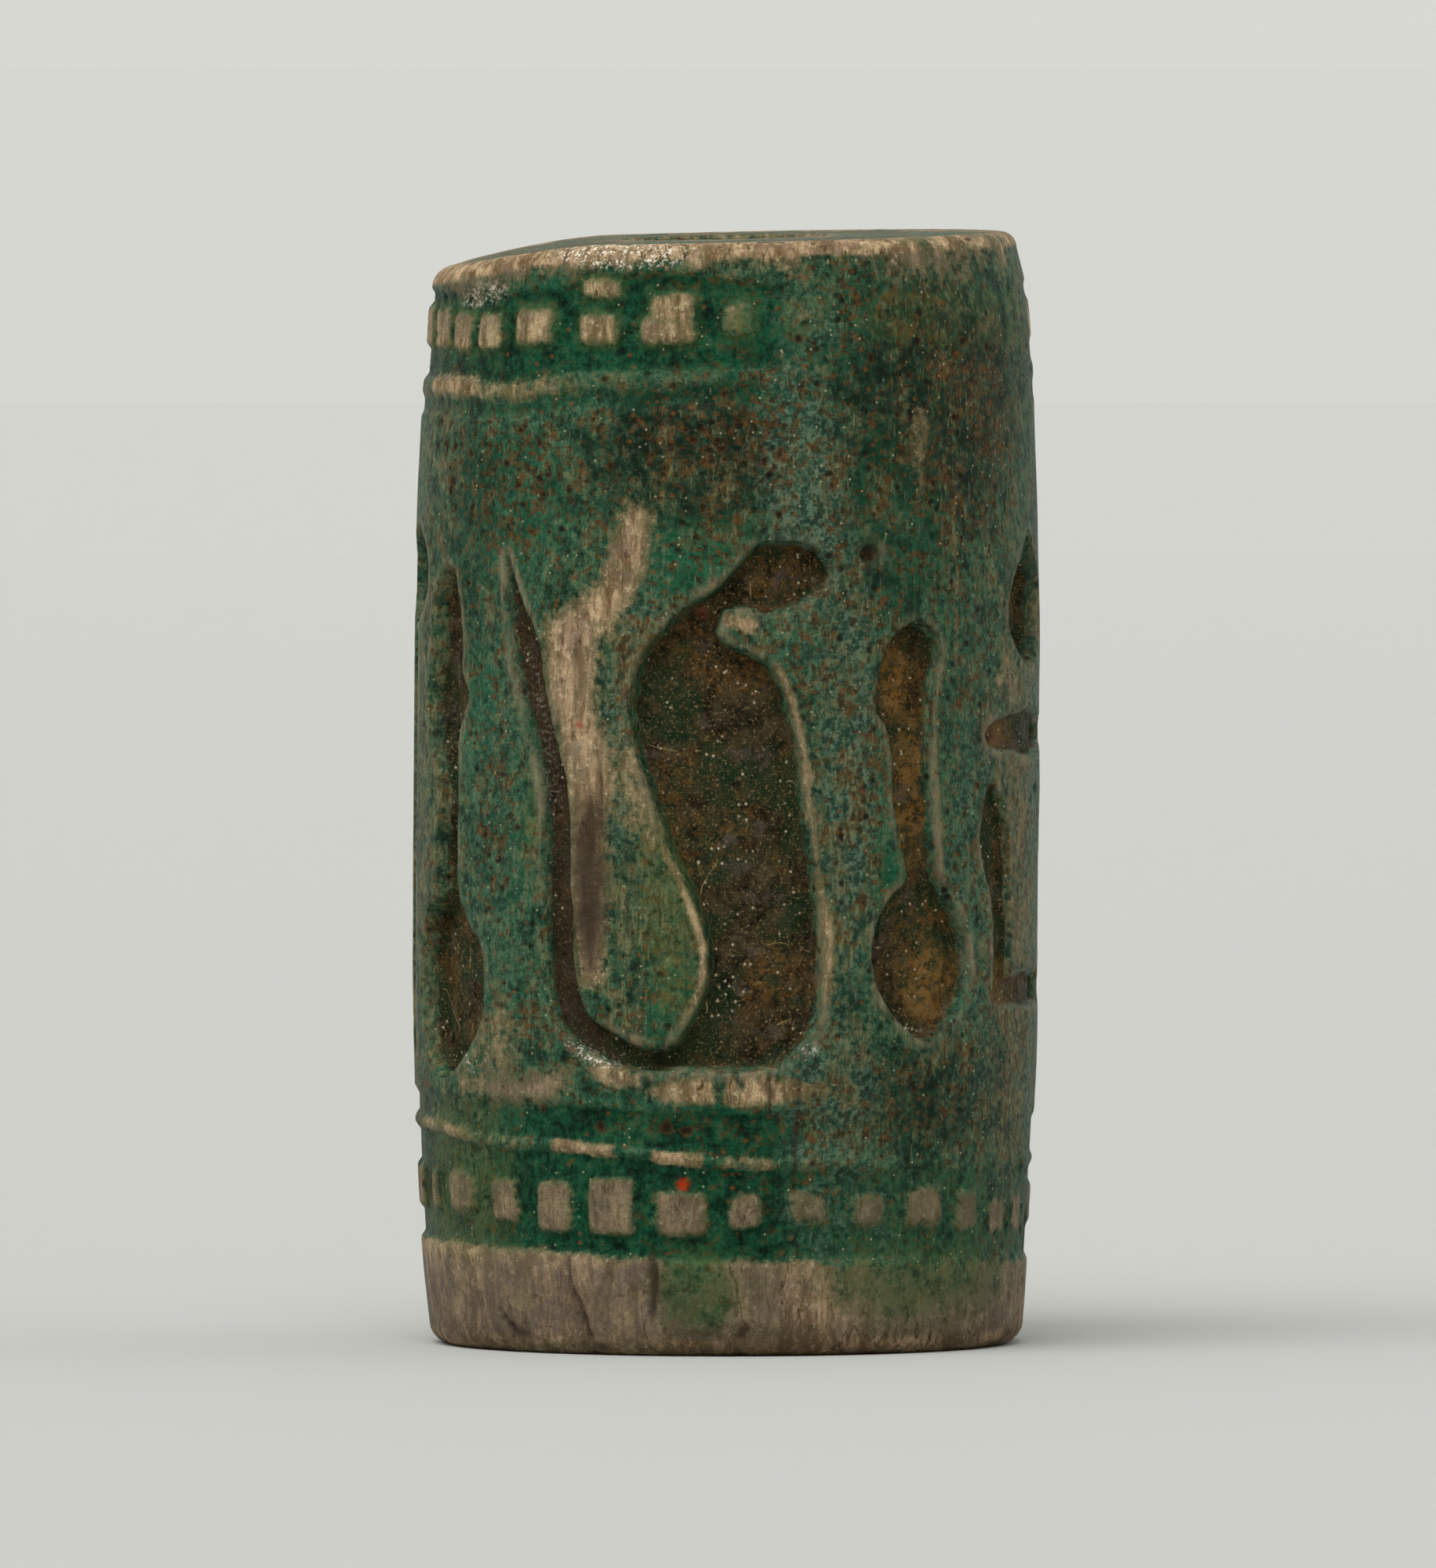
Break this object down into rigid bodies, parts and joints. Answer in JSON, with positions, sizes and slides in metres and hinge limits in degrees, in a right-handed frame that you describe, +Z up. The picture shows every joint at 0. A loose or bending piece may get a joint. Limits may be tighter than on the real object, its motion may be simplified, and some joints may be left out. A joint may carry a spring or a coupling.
{
  "type": "cylinder seal",
  "caption": "Small barrel-shaped seal of glazed stone, bored along its axis for a string, with sunk figures between ladder borders, rolled over clay to print them.",
  "frame": {"origin": "centre of the lower end, on the surface the seal stands on", "axes": "+Z up along the axis and the string hole, -Y towards the viewer, where the large cobra stands, +X to the viewer's right"},
  "size_m": [0.0112, 0.0112, 0.02],
  "materials": {
    "glazed_steatite": "worn green glaze over beige-grey stone, satin, with brown dirt in the carving"
  },
  "bodies": {
    "root": {"seal": "glazed_steatite"}
  },
  "joints": []
}
